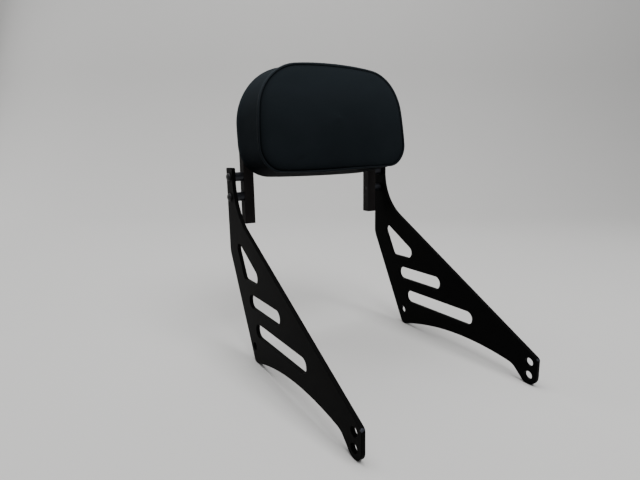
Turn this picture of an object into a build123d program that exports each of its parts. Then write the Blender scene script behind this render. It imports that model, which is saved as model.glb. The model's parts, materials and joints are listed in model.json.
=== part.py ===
from build123d import *
import math
import os

# Motorcycle backrest: two laser-cut side plates carry a padded backrest on two square legs.
# Lengths are in millimetres and angles in degrees. The pieces are drawn with the slots level:
# X runs across the motorcycle, +Y runs to the rear and +Z runs up. The drawing's origin is
# midway between the plates, on the line through the centres of their lower front holes.
# At the end the whole assembly is stood on its four feet, with its middle over the origin.

# Side plates
PLATE_THICKNESS = 5.0
PLATE_EDGE_ROUNDING = 0.5
PLATES_INSIDE_WIDTH = 245.0
NOSE_RADIUS = 11.0
NOSE_CORNER_RADIUS = 5.0
MOUNT_HOLE_DIAMETER = 10.5
FRONT_HOLE_SPACING = 16.5
REAR_HOLE_MARGIN = 11.0
FRONT_EDGE_ANGLE = 30.0
FRONT_EDGE_HEIGHT = 29.8
REAR_EDGE_ANGLE = 62.3
REAR_EDGE_DISTANCE = 222.6
FOOT_RADIUS = 8.0
ARCH_RADIUS = 373.0
ARCH_TOP_DISTANCE = 96.7
ARCH_TOP_HEIGHT = 13.8
NECK_ANGLE = 45.0
NECK_FILLET_RADIUS = 18.0
STRAP_WIDTH = 20.5
STRAP_REAR_DISTANCE = 291.0
STRAP_LENGTH = 56.5
STRAP_CORNER_RADIUS = 2.0
STRAP_FRONT_FILLET_RADIUS = 75.0
STRAP_REAR_FILLET_RADIUS = 20.0

# Windows in the side plates
WINDOW_BORDER = 27.7
WINDOW_BASE_HEIGHT = 32.6
SLOT_HEIGHT = 18.0
WEB_HEIGHT = 16.0
TRIANGLE_CORNER_RADIUS = 6.5

# Legs of the pad
LEG_SIZE = 14.0
LEG_EDGE_RADIUS = 0.8
LEG_DROP = 75.0

# Screws, washers, spacers and nuts
SCREW_DIAMETER = 6.0
SCREW_CLEARANCE = 0.25
HEAD_DIAMETER = 10.5
HEAD_HEIGHT = 3.3
HEAD_ROUNDING = 2.5
SOCKET_ACROSS_FLATS = 4.0
SOCKET_DEPTH = 2.0
SPACER_DIAMETER = 12.0
SPACER_LENGTH = 12.8
PLATE_SCREW_SPACING = 26.4
PLATE_SCREW_MARGIN = 12.0
PLATE_SCREW_END_GAP = 0.7
WASHER_DIAMETER = 12.0
WASHER_THICKNESS = 1.2
PAD_SCREW_MARGIN = 12.0
TEE_NUT_FLANGE_DIAMETER = 15.0
TEE_NUT_FLANGE_THICKNESS = 1.5
TEE_NUT_BARREL_DIAMETER = 8.0
TEE_NUT_BARREL_LENGTH = 8.0

# Pad: its back stands upright on the legs and its face leans back
# Overhangs are measured from the outer faces of the legs, rises from the pad's lower edge
PAD_BOTTOM_DROP = 12.0
PAD_DEPTH_AT_FACE_BOTTOM = 64.0
FACE_RISE = 9.2
FACE_LEAN = 5.4
FACE_HEIGHT = 131.8
FACE_LOW_OVERHANG = 5.8
FACE_TAPER = 20.5
FACE_CROWN = 11.8
FACE_BOW = 0.6
BACK_HEIGHT = 142.5
BACK_LOW_OVERHANG = 4.3
BACK_TOP_OVERHANG = 8.3
BACK_CROWN = 8.0
BACK_BOW = 2.0
# Corner radii of both outlines, as shares of their heights
FACE_CORNER_SHARES = {"low": 0.212, "top": 0.455}
BACK_CORNER_SHARES = {"low": 0.295, "top": 0.54}
SWELL_HEIGHT = 7.6
# Each step of the face's crown: share of the lower corners' radius, and share of the height
SWELL_STEPS = ((0.2, 0.55), (0.47, 0.84), (0.85, 1.0))
PIPING_DIAMETER = 3.2
COVER_THICKNESS = 1.2
COVER_CLEARANCE = 0.3
PIPING_CLEARANCE = 0.1
PIPING_OVERHANG = 0.6
LIP_WIDTH = 22.0
BACK_PANEL_THICKNESS = 1.0
BACK_PANEL_INSET = 6.0
# Shares of the back's height at which the legs are screwed on
PAD_SCREW_SHARES = {"upper": 0.39, "lower": 0.18}
BOARD_THICKNESS = 9.0

# Places worked out from the sizes above
PLATE_INNER_X = PLATES_INSIDE_WIDTH / 2
PLATE_OUTER_X = PLATE_INNER_X + PLATE_THICKNESS
LEG_OUTER_X = PLATE_INNER_X - SPACER_LENGTH
LEG_CENTRE_X = LEG_OUTER_X - LEG_SIZE / 2
STRAP_FRONT_DISTANCE = STRAP_REAR_DISTANCE - STRAP_WIDTH
STRAP_FOOT_HEIGHT = FRONT_EDGE_HEIGHT + STRAP_FRONT_DISTANCE * math.tan(math.radians(FRONT_EDGE_ANGLE))
STRAP_TOP_HEIGHT = STRAP_FOOT_HEIGHT + STRAP_LENGTH
STRAP_CENTRE_Y = STRAP_REAR_DISTANCE - STRAP_WIDTH / 2
LEG_FRONT_Y = STRAP_CENTRE_Y - LEG_SIZE / 2
LEG_REAR_Y = STRAP_CENTRE_Y + LEG_SIZE / 2
LEG_BOTTOM_HEIGHT = STRAP_TOP_HEIGHT - LEG_DROP
PAD_BOTTOM_HEIGHT = STRAP_TOP_HEIGHT - PAD_BOTTOM_DROP
PLATE_SCREW_HEIGHTS = {
    "upper": STRAP_TOP_HEIGHT - PLATE_SCREW_MARGIN,
    "lower": STRAP_TOP_HEIGHT - PLATE_SCREW_MARGIN - PLATE_SCREW_SPACING,
}
FACE_CORNER_RADII = {end: share * FACE_HEIGHT for end, share in FACE_CORNER_SHARES.items()}
BACK_CORNER_RADII = {end: share * BACK_HEIGHT for end, share in BACK_CORNER_SHARES.items()}
PAD_SCREW_HEIGHTS = {
    level: PAD_BOTTOM_HEIGHT + share * BACK_HEIGHT for level, share in PAD_SCREW_SHARES.items()
}
LEG_TOP_HEIGHT = PAD_SCREW_HEIGHTS["upper"] + PAD_SCREW_MARGIN
LIP_REAR_Y = LEG_FRONT_Y - BACK_PANEL_THICKNESS
BOARD_REAR_Y = LIP_REAR_Y - COVER_THICKNESS
BOARD_FRONT_Y = BOARD_REAR_Y - BOARD_THICKNESS
FACE_LOW_WIDTH = 2 * (LEG_OUTER_X + FACE_LOW_OVERHANG)
FACE_TOP_WIDTH = FACE_LOW_WIDTH - FACE_TAPER
BACK_LOW_WIDTH = 2 * (LEG_OUTER_X + BACK_LOW_OVERHANG)
BACK_TOP_WIDTH = 2 * (LEG_OUTER_X + BACK_TOP_OVERHANG)
SCREW_HOLE_RADIUS = SCREW_DIAMETER / 2 + SCREW_CLEARANCE
SIDES = {"left": -1, "right": 1}
# Two lengths that differ by less than this count as the same
SAME_SIZE = 0.001

# The pad's back, and the leaning plane in which the face is sewn to the boxing
BACK_PLANE = Plane(origin=(0, LIP_REAR_Y, PAD_BOTTOM_HEIGHT), x_dir=(1, 0, 0), z_dir=(0, -1, 0))
FACE_PLANE = Plane(
    origin=(0, LEG_FRONT_Y - PAD_DEPTH_AT_FACE_BOTTOM, PAD_BOTTOM_HEIGHT + FACE_RISE),
    x_dir=(1, 0, 0),
    z_dir=(0, -math.cos(math.radians(FACE_LEAN)), math.sin(math.radians(FACE_LEAN))),
)


def tan(angle):
    """Tangent of an angle in degrees."""
    return math.tan(math.radians(angle))


def sin(angle):
    """Sine of an angle in degrees."""
    return math.sin(math.radians(angle))


def rear_edge_y(height, inset=0.0):
    """Where the plate's sloping rear edge, moved inwards by inset, passes a height."""
    return REAR_EDGE_DISTANCE + height / tan(REAR_EDGE_ANGLE) - inset / sin(REAR_EDGE_ANGLE)


def front_edge_y(height, inset=0.0):
    """Where the plate's long front edge, moved inwards by inset, passes a height."""
    return (height - FRONT_EDGE_HEIGHT) / tan(FRONT_EDGE_ANGLE) + inset / sin(FRONT_EDGE_ANGLE)


def meet_arch(point, angle):
    """Point where a line through point, rising rearwards at angle, meets the arch's circle."""
    centre = Vector(ARCH_TOP_DISTANCE, ARCH_TOP_HEIGHT - ARCH_RADIUS)
    direction = Vector(math.cos(math.radians(angle)), sin(angle))
    to_centre = centre - Vector(*point)
    along = to_centre.dot(direction)
    half_chord = math.sqrt(ARCH_RADIUS**2 - to_centre.dot(to_centre) + along**2)
    return Vector(*point) + direction * (along + half_chord)


def round_corner(face, corner, radius):
    """Round the corner of a face that lies nearest to a point."""
    vertex = face.vertices().sort_by_distance(Vertex(corner[0], corner[1], 0))[0]
    return fillet(vertex, radius)


def rod(radius, length, start, direction):
    """Cylinder that begins at a point and runs along a direction."""
    plane = Plane(origin=start, z_dir=direction)
    return plane.location * Cylinder(radius, length, align=(Align.CENTER, Align.CENTER, Align.MIN))


def plate_outline():
    """Outline of a side plate: nose, long front edge, strap, rear edge, foot and arch."""
    front_corner = Vector(-NOSE_RADIUS, FRONT_EDGE_HEIGHT - NOSE_RADIUS * tan(FRONT_EDGE_ANGLE))
    strap_foot = Vector(STRAP_FRONT_DISTANCE, STRAP_FOOT_HEIGHT)
    strap_front = Vector(STRAP_FRONT_DISTANCE, STRAP_TOP_HEIGHT)
    strap_rear = Vector(STRAP_REAR_DISTANCE, STRAP_TOP_HEIGHT)
    kink = Vector(STRAP_REAR_DISTANCE,
                  (STRAP_REAR_DISTANCE - REAR_EDGE_DISTANCE) * tan(REAR_EDGE_ANGLE))
    foot = meet_arch((REAR_EDGE_DISTANCE, 0), REAR_EDGE_ANGLE)
    neck_start = Vector(NOSE_RADIUS * sin(NECK_ANGLE), -NOSE_RADIUS * sin(90 - NECK_ANGLE))
    neck_end = meet_arch(tuple(neck_start)[:2], NECK_ANGLE)
    nose_low = Vector(0, -NOSE_RADIUS)
    nose_front = Vector(-NOSE_RADIUS, 0)
    arch_top = Vector(ARCH_TOP_DISTANCE, ARCH_TOP_HEIGHT)
    outline = [
        Line(nose_front, front_corner),
        Line(front_corner, strap_foot),
        Line(strap_foot, strap_front),
        Line(strap_front, strap_rear),
        Line(strap_rear, kink),
        Line(kink, foot),
        ThreePointArc(foot, arch_top, neck_end),
        Line(neck_end, neck_start),
        ThreePointArc(neck_start, nose_low, nose_front),
    ]
    face = make_face(Wire(outline))
    for corner, radius in (
        (front_corner, NOSE_CORNER_RADIUS),
        (strap_foot, STRAP_FRONT_FILLET_RADIUS),
        (strap_front, STRAP_CORNER_RADIUS),
        (strap_rear, STRAP_CORNER_RADIUS),
        (kink, STRAP_REAR_FILLET_RADIUS),
        (foot, FOOT_RADIUS),
        (neck_end, NECK_FILLET_RADIUS),
    ):
        face = round_corner(face, tuple(corner), radius)
    return face


def slot(base_height):
    """One level slot that keeps the border to both long edges of the plate."""
    radius = SLOT_HEIGHT / 2
    middle = base_height + radius
    front = front_edge_y(middle, WINDOW_BORDER + radius)
    rear = rear_edge_y(middle, WINDOW_BORDER + radius)
    return Pos((front + rear) / 2, middle) * SlotCenterToCenter(rear - front, SLOT_HEIGHT)


def triangle(base_height):
    """Three-cornered window between the edges of the plate, above the slots."""
    front_run = 1 / tan(FRONT_EDGE_ANGLE)
    rear_run = 1 / tan(REAR_EDGE_ANGLE)
    apex_height = ((rear_edge_y(0, WINDOW_BORDER) - front_edge_y(0, WINDOW_BORDER))
                   / (front_run - rear_run))
    front = (front_edge_y(base_height, WINDOW_BORDER), base_height)
    rear = (rear_edge_y(base_height, WINDOW_BORDER), base_height)
    apex = (rear_edge_y(apex_height, WINDOW_BORDER), apex_height)
    face = make_face(Wire(Polyline(front, rear, apex, close=True)))
    for corner, radius in (
        (front, SLOT_HEIGHT / 2),
        (rear, TRIANGLE_CORNER_RADIUS),
        (apex, TRIANGLE_CORNER_RADIUS),
    ):
        face = round_corner(face, corner, radius)
    return face


def side_plate(side):
    """Side plate with its windows, its three mounting holes and its two screw holes."""
    profile = plate_outline()
    row = SLOT_HEIGHT + WEB_HEIGHT
    profile -= slot(WINDOW_BASE_HEIGHT)
    profile -= slot(WINDOW_BASE_HEIGHT + row)
    profile -= triangle(WINDOW_BASE_HEIGHT + 2 * row)
    low_x = PLATE_INNER_X if side > 0 else -PLATE_OUTER_X
    plane = Plane(origin=(low_x, 0, 0), x_dir=(0, 1, 0), z_dir=(1, 0, 0))
    plate = extrude(plane.location * profile, PLATE_THICKNESS)
    plate = fillet(plate.faces().filter_by(Axis.X).edges(), PLATE_EDGE_ROUNDING)
    for hole_y, hole_z in mount_hole_centres():
        plate -= rod(MOUNT_HOLE_DIAMETER / 2, PLATE_THICKNESS, (low_x, hole_y, hole_z), (1, 0, 0))
    for height in PLATE_SCREW_HEIGHTS.values():
        plate -= rod(SCREW_HOLE_RADIUS, PLATE_THICKNESS, (low_x, STRAP_CENTRE_Y, height), (1, 0, 0))
    return plate


def mount_hole_centres():
    """Centres of the holes that bolt a side plate to the motorcycle, as distance and height."""
    return (
        (0.0, 0.0),
        (0.0, FRONT_HOLE_SPACING),
        (rear_edge_y(FRONT_HOLE_SPACING, REAR_HOLE_MARGIN), FRONT_HOLE_SPACING),
    )


def leg(side):
    """Square bar behind the pad, tapped for the plate's screws and drilled for the pad's."""
    length = LEG_TOP_HEIGHT - LEG_BOTTOM_HEIGHT
    bar = Box(LEG_SIZE, LEG_SIZE, length, align=(Align.CENTER, Align.CENTER, Align.MIN))
    bar = fillet(bar.edges().filter_by(Axis.Z), LEG_EDGE_RADIUS)
    bar = Pos(side * LEG_CENTRE_X, STRAP_CENTRE_Y, LEG_BOTTOM_HEIGHT) * bar
    for height in PLATE_SCREW_HEIGHTS.values():
        bar -= rod(SCREW_DIAMETER / 2, LEG_SIZE, (side * LEG_OUTER_X, STRAP_CENTRE_Y, height), (-side, 0, 0))
    for height in PAD_SCREW_HEIGHTS.values():
        bar -= rod(SCREW_HOLE_RADIUS, LEG_SIZE, (side * LEG_CENTRE_X, LEG_FRONT_Y, height), (0, 1, 0))
    return bar


def button_screw(shank_length, seat, direction):
    """Button-head socket screw whose head sits on seat and whose shank runs along direction."""
    head = Cylinder(HEAD_DIAMETER / 2, HEAD_HEIGHT, align=(Align.CENTER, Align.CENTER, Align.MAX))
    rim = head.edges().filter_by(GeomType.CIRCLE).sort_by(Axis.Z)[0]
    head = fillet(rim, HEAD_ROUNDING)
    socket = extrude(RegularPolygon(SOCKET_ACROSS_FLATS / 2, 6, major_radius=False), SOCKET_DEPTH)
    head -= Pos(0, 0, -HEAD_HEIGHT) * socket
    shank = Cylinder(SCREW_DIAMETER / 2, shank_length, align=(Align.CENTER, Align.CENTER, Align.MIN))
    return Plane(origin=seat, z_dir=direction).location * (head + shank)


def plate_screw(side, height):
    """Screw that holds a side plate to a leg through a spacer."""
    length = PLATE_THICKNESS + SPACER_LENGTH + LEG_SIZE - PLATE_SCREW_END_GAP
    return button_screw(length, (side * PLATE_OUTER_X, STRAP_CENTRE_Y, height), (-side, 0, 0))


def spacer(side, height):
    """Tube that keeps a side plate off its leg."""
    start = (side * LEG_OUTER_X, STRAP_CENTRE_Y, height)
    tube = rod(SPACER_DIAMETER / 2, SPACER_LENGTH, start, (side, 0, 0))
    return tube - rod(SCREW_HOLE_RADIUS, SPACER_LENGTH, start, (side, 0, 0))


def pad_washer(side, height):
    """Plain washer behind a leg."""
    start = (side * LEG_CENTRE_X, LEG_REAR_Y, height)
    disc = rod(WASHER_DIAMETER / 2, WASHER_THICKNESS, start, (0, 1, 0))
    return disc - rod(SCREW_HOLE_RADIUS, WASHER_THICKNESS, start, (0, 1, 0))


def pad_screw(side, height):
    """Screw that pulls the pad's board onto a leg."""
    seat_y = LEG_REAR_Y + WASHER_THICKNESS
    return button_screw(seat_y - BOARD_FRONT_Y, (side * LEG_CENTRE_X, seat_y, height), (0, -1, 0))


def tee_nut(side, height):
    """Tee nut pressed into the front of the board, under the foam."""
    start = (side * LEG_CENTRE_X, BOARD_FRONT_Y, height)
    flange = rod(TEE_NUT_FLANGE_DIAMETER / 2, TEE_NUT_FLANGE_THICKNESS, start, (0, -1, 0))
    barrel = rod(TEE_NUT_BARREL_DIAMETER / 2, TEE_NUT_BARREL_LENGTH, start, (0, 1, 0))
    thread_start = (start[0], BOARD_FRONT_Y - TEE_NUT_FLANGE_THICKNESS, height)
    thread_length = TEE_NUT_FLANGE_THICKNESS + TEE_NUT_BARREL_LENGTH
    return flange + barrel - rod(SCREW_DIAMETER / 2, thread_length, thread_start, (0, 1, 0))


def pad_outline(low_width, top_width, height, crown, bow, radii, grow):
    """Outline of the pad with its lower edge at zero, made larger all round by grow."""
    low = low_width / 2 + grow
    top = top_width / 2 + grow
    shoulder = height + grow - crown
    outline = [
        ThreePointArc((-low, -grow), (0, -grow - bow), (low, -grow)),
        Line((low, -grow), (top, shoulder)),
        ThreePointArc((top, shoulder), (0, height + grow), (-top, shoulder)),
        Line((-top, shoulder), (-low, -grow)),
    ]
    face = make_face(Wire(outline))
    face = fillet(face.vertices().sort_by(Axis.Y)[:2], radii["low"] + grow)
    return fillet(face.vertices().sort_by(Axis.Y)[-2:], radii["top"] + grow)


def face_outline(grow, level=0.0):
    """Outline of the pad's face in its leaning plane, at a level in front of that plane."""
    face = pad_outline(FACE_LOW_WIDTH, FACE_TOP_WIDTH, FACE_HEIGHT, FACE_CROWN, FACE_BOW,
                       FACE_CORNER_RADII, grow)
    return FACE_PLANE.offset(level).location * face


def back_outline(grow, level=0.0):
    """Outline of the pad's back, at a level in front of it."""
    face = pad_outline(BACK_LOW_WIDTH, BACK_TOP_WIDTH, BACK_HEIGHT, BACK_CROWN, BACK_BOW,
                       BACK_CORNER_RADII, grow)
    return BACK_PLANE.offset(level).location * face


def pad_block(inset):
    """Whole body of the pad from its back to the plane of the face, made smaller by inset."""
    return loft([back_outline(-inset), face_outline(-inset)])


def slab(front_y, rear_y):
    """Wide upright slab between two distances, to cut the pad's body with."""
    width = 2 * PLATES_INSIDE_WIDTH
    height = 2 * (PAD_BOTTOM_HEIGHT + BACK_HEIGHT)
    box = Box(width, rear_y - front_y, height, align=(Align.CENTER, Align.MIN, Align.CENTER))
    return Pos(0, front_y, PAD_BOTTOM_HEIGHT) * box


def swell(inset, drop):
    """Crowned front of the pad inside the piping, set in further by inset and lowered by drop."""
    edge = PIPING_DIAMETER + COVER_CLEARANCE - PIPING_OVERHANG + inset
    sections = [face_outline(-edge)]
    for share, rise in SWELL_STEPS:
        step = share * (FACE_CORNER_RADII["low"] - edge)
        sections.append(face_outline(-edge - step, SWELL_HEIGHT * rise - drop))
    return loft(sections)


def pad_screw_rods(radius, length, start_y, direction):
    """Rods on the axes of the four pad screws."""
    rods = []
    for side in SIDES.values():
        for height in PAD_SCREW_HEIGHTS.values():
            rods.append(rod(radius, length, (side * LEG_CENTRE_X, start_y, height), direction))
    return rods


def pad_board():
    """Plywood board that stiffens the pad and carries the tee nuts."""
    board = pad_block(COVER_THICKNESS + COVER_CLEARANCE) & slab(BOARD_FRONT_Y, BOARD_REAR_Y)
    for hole in pad_screw_rods(TEE_NUT_BARREL_DIAMETER / 2, BOARD_THICKNESS, BOARD_FRONT_Y, (0, 1, 0)):
        board -= hole
    return board


def pad_foam():
    """Foam in front of the board, hollowed over the tee nuts and crowned at the face."""
    foam = pad_block(COVER_THICKNESS + COVER_CLEARANCE)
    foam -= slab(BOARD_FRONT_Y, BOARD_FRONT_Y + PAD_DEPTH_AT_FACE_BOTTOM)
    foam += swell(COVER_THICKNESS + 2 * COVER_CLEARANCE, COVER_THICKNESS + COVER_CLEARANCE)
    pocket_radius = TEE_NUT_FLANGE_DIAMETER / 2 + COVER_CLEARANCE
    pocket_depth = TEE_NUT_FLANGE_THICKNESS + COVER_CLEARANCE
    for pocket in pad_screw_rods(pocket_radius, pocket_depth, BOARD_FRONT_Y, (0, -1, 0)):
        foam -= pocket
    return foam


def cover_face():
    """Front panel of the cover, crowned over the foam."""
    return swell(0.0, 0.0) - swell(COVER_THICKNESS + COVER_CLEARANCE, COVER_THICKNESS)


def cover_boxing():
    """Band of the cover around the pad, folded over the board's back as a lip."""
    outside = pad_block(0.0)
    band = outside - pad_block(COVER_THICKNESS)
    lip = outside & slab(BOARD_REAR_Y, LIP_REAR_Y)
    lip -= extrude(back_outline(-LIP_WIDTH), COVER_THICKNESS)
    for hole in pad_screw_rods(SCREW_HOLE_RADIUS, COVER_THICKNESS, BOARD_REAR_Y, (0, 1, 0)):
        lip -= hole
    return band + lip


def cover_piping():
    """Piping sewn in the seam between the face and the boxing."""
    radius = PIPING_DIAMETER / 2
    seam = face_outline(PIPING_OVERHANG - radius, radius + PIPING_CLEARANCE)
    path = seam.wire()
    section = Plane(origin=path @ 0, z_dir=path % 0).location * Circle(radius)
    return sweep(section, path=path)


def cover_back():
    """Panel that closes the back of the cover, between the lip and the legs."""
    panel = extrude(back_outline(-BACK_PANEL_INSET), -BACK_PANEL_THICKNESS)
    for hole in pad_screw_rods(SCREW_HOLE_RADIUS, BACK_PANEL_THICKNESS, LIP_REAR_Y, (0, 1, 0)):
        panel -= hole
    return panel


def build_pieces():
    """All pieces by name, in the frame in which they are drawn."""
    pieces = {
        "pad_board": pad_board(),
        "pad_foam": pad_foam(),
        "cover_face": cover_face(),
        "cover_boxing": cover_boxing(),
        "cover_piping": cover_piping(),
        "cover_back": cover_back(),
    }
    for name, side in SIDES.items():
        pieces[f"side_plate_{name}"] = side_plate(side)
        pieces[f"leg_{name}"] = leg(side)
        for level, height in PLATE_SCREW_HEIGHTS.items():
            pieces[f"plate_screw_{name}_{level}"] = plate_screw(side, height)
            pieces[f"spacer_{name}_{level}"] = spacer(side, height)
        for level, height in PAD_SCREW_HEIGHTS.items():
            pieces[f"pad_screw_{name}_{level}"] = pad_screw(side, height)
            pieces[f"pad_washer_{name}_{level}"] = pad_washer(side, height)
            pieces[f"tee_nut_{name}_{level}"] = tee_nut(side, height)
    return pieces


def standing_tilt():
    """Angle that turns the assembly from level slots onto its noses and rear feet."""
    arcs = plate_outline().edges().filter_by(GeomType.CIRCLE)
    rear_feet = [arc for arc in arcs if abs(arc.radius - FOOT_RADIUS) < SAME_SIZE]
    foot = min((arc.arc_center for arc in rear_feet), key=lambda centre: centre.Y)
    centres = math.degrees(math.atan2(foot.Y, foot.X))
    spread = math.degrees(math.asin((NOSE_RADIUS - FOOT_RADIUS) / math.hypot(foot.X, foot.Y)))
    return centres + spread


def main():
    """Build every piece, stand the assembly on the floor and write the files."""
    pieces = build_pieces()
    turned = {name: Rot(-standing_tilt(), 0, 0) * piece for name, piece in pieces.items()}
    box = Compound(children=[Compound(piece.solids()) for piece in turned.values()]).bounding_box()
    stand = Pos(-box.center().X, -box.center().Y, -box.min.Z)
    os.makedirs("parts", exist_ok=True)
    for name, piece in turned.items():
        export_step(stand * piece, f"parts/{name}.step")
    print("tilt", round(standing_tilt(), 3), "shift", stand.position)


main()
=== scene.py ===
"""Looks of the motorcycle backrest: sewn pad, coated metal, studio light and camera."""

import json
import logging
import math
from dataclasses import dataclass, field
from enum import Enum
from typing import Any, Iterable, Optional, Sequence

import bmesh
import bpy
import numpy as np
from mathutils import Matrix, Vector, noise
from mathutils.bvhtree import BVHTree
from mathutils.kdtree import KDTree


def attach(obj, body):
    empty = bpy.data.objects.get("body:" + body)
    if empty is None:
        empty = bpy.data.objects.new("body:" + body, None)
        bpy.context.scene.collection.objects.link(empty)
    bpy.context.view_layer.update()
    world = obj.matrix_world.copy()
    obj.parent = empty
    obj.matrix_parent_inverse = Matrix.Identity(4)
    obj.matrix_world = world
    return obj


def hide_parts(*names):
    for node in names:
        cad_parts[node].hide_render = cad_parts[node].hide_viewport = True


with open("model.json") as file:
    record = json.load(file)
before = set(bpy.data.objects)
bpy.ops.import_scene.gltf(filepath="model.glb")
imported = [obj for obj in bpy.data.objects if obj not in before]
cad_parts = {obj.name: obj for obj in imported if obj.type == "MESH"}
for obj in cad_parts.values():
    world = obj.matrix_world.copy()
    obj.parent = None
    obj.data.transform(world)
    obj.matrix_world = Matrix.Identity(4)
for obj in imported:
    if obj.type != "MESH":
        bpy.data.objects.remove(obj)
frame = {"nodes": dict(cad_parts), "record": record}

log = logging.getLogger("backrest")

Triple = tuple[float, float, float]
Colour = Triple
Array = np.ndarray
Object = bpy.types.Object

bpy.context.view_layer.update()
MM = 0.001
FULL_TURN = 2 * math.pi
TINY = 1e-9

# Distance from the pad's middle at which measuring rays start, and points measured on the seam.
RAY_START = 0.4
SEAM_SAMPLES = 1441

# Mesh attributes that tell the leatherette where to paint shade on the cover and where to paint a highlight
# on its rear rim.
PAINTED_SHADE = "painted_shade"
PAINTED_RIM_HIGHLIGHT = "painted_rim_highlight"


class Slot(Enum):
    """Material slots of the record that the scene paints."""

    PLATE = "plate_paint"
    LEG = "leg_paint"
    SCREW = "screw_steel"
    SPACER = "spacer_steel"
    PAD_SCREW = "pad_screw_zinc"
    TEE_NUT = "tee_nut_zinc"
    BOARD = "plywood"
    FOAM = "foam"
    COVER = "cover_leatherette"
    PIPING = "piping"
    BACK = "back_fabric"


class Panel(Enum):
    """Face sets of the cushion's mesh."""

    FACE = 0
    BOXING = 1
    BACK = 2


class Value:
    """One output of a shader graph; arithmetic on it adds the nodes that do the sum."""

    def __init__(self, graph: "Graph", socket: Optional[bpy.types.NodeSocket]) -> None:
        self.graph = graph
        self.socket = socket

    def __add__(self, other: Any) -> "Value":
        return self.graph.maths("ADD", self, other)

    def __radd__(self, other: Any) -> "Value":
        return self.graph.maths("ADD", other, self)

    def __sub__(self, other: Any) -> "Value":
        return self.graph.maths("SUBTRACT", self, other)

    def __rsub__(self, other: Any) -> "Value":
        return self.graph.maths("SUBTRACT", other, self)

    def __mul__(self, other: Any) -> "Value":
        return self.graph.maths("MULTIPLY", self, other)

    def __pow__(self, other: Any) -> "Value":
        return self.graph.maths("POWER", self, other)

    def step(self, low: float, high: float) -> "Value":
        """Smooth change from zero at low to one at high; low may lie above high."""
        limits = {"Value": self, "From Min": low, "From Max": high}
        return self.graph.node("ShaderNodeMapRange", limits, "Result", interpolation_type="SMOOTHSTEP")


class Graph:
    """Node tree of a material or world, built through plain Python values."""

    def __init__(self, owner: bpy.types.ID) -> None:
        owner.use_nodes = True
        self.tree = owner.node_tree
        self.tree.nodes.clear()

    def node(
        self,
        kind: str,
        inputs: Optional[dict[str | int, Any]] = None,
        output: str | int = 0,
        **settings: Any,
    ) -> Value:
        """Adds any node.

        Args:
            kind: Blender's name of the node type.
            inputs: Values for its sockets, by name or by number.
            output: Which output to return.
            **settings: Attributes of the node, set before its sockets.

        Returns:
            The chosen output.
        """
        made = self.tree.nodes.new(kind)
        for key, setting in settings.items():
            setattr(made, key, setting)
        for key, value in (inputs or {}).items():
            socket = made.inputs[key]
            if isinstance(value, Value):
                self.tree.links.new(value.socket, socket)
            else:
                socket.default_value = value
        return Value(self, made.outputs[output] if len(made.outputs) else None)

    def maths(self, operation: str, first: Any, second: Any = 0.0) -> Value:
        """One sum of two numbers or values."""
        return self.node("ShaderNodeMath", {0: first, 1: second}, operation=operation)

    def place(self) -> Value:
        """Position on the object, in metres of the row frame."""
        return self.node("ShaderNodeTexCoord", output="Object")

    def stretched(self, vector: Value, scale: Sequence[float]) -> Value:
        """A position with each axis multiplied by its own number."""
        return self.node("ShaderNodeVectorMath", {0: vector, 1: tuple(scale)}, operation="MULTIPLY")

    def axes(self, vector: Value) -> tuple[Value, Value, Value]:
        """The three numbers of a vector."""
        split = self.node("ShaderNodeSeparateXYZ", {0: vector}).socket.node
        return tuple(Value(self, socket) for socket in split.outputs)

    def noise(self, vector: Value, scale: float, detail: float = 2.0, roughness: float = 0.5) -> Value:
        """Soft noise from zero to one."""
        inputs = {"Vector": vector, "Scale": scale, "Detail": detail, "Roughness": roughness}
        return self.node("ShaderNodeTexNoise", inputs, output="Fac")

    def blend(self, share: Any, first: Any, second: Any) -> Value:
        """Colour between first and second."""
        inputs = {0: share, 6: self.colour(first), 7: self.colour(second)}
        return self.node("ShaderNodeMix", inputs, output=2, data_type="RGBA")

    @staticmethod
    def colour(value: Any) -> Any:
        """A colour with its fourth number, or a value as it is."""
        return value if isinstance(value, Value) else (*value, 1.0)

    def bump(self, height: Value, strength: float, distance: float) -> Value:
        """Normal that a height field gives."""
        return self.node("ShaderNodeBump", {"Height": height, "Strength": strength, "Distance": distance})


@dataclass(frozen=True)
class Finish:
    """A procedural surface; each kind gives its own values to the surface shader."""

    def build(self, name: str) -> bpy.types.Material:
        """Makes the material of that name, with its surface shader and output."""
        material = bpy.data.materials.new(name)
        graph = Graph(material)
        surface = graph.node("ShaderNodeBsdfPrincipled", self.surface(graph, graph.place()))
        graph.node("ShaderNodeOutputMaterial", {"Surface": surface})
        return material

    def surface(self, graph: Graph, place: Value) -> dict[str, Any]:
        """Adds the nodes behind the surface shader.

        Args:
            graph: Node tree of the material.
            place: Position on the object.

        Returns:
            Values for the shader's sockets, by their names.
        """
        raise NotImplementedError


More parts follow.
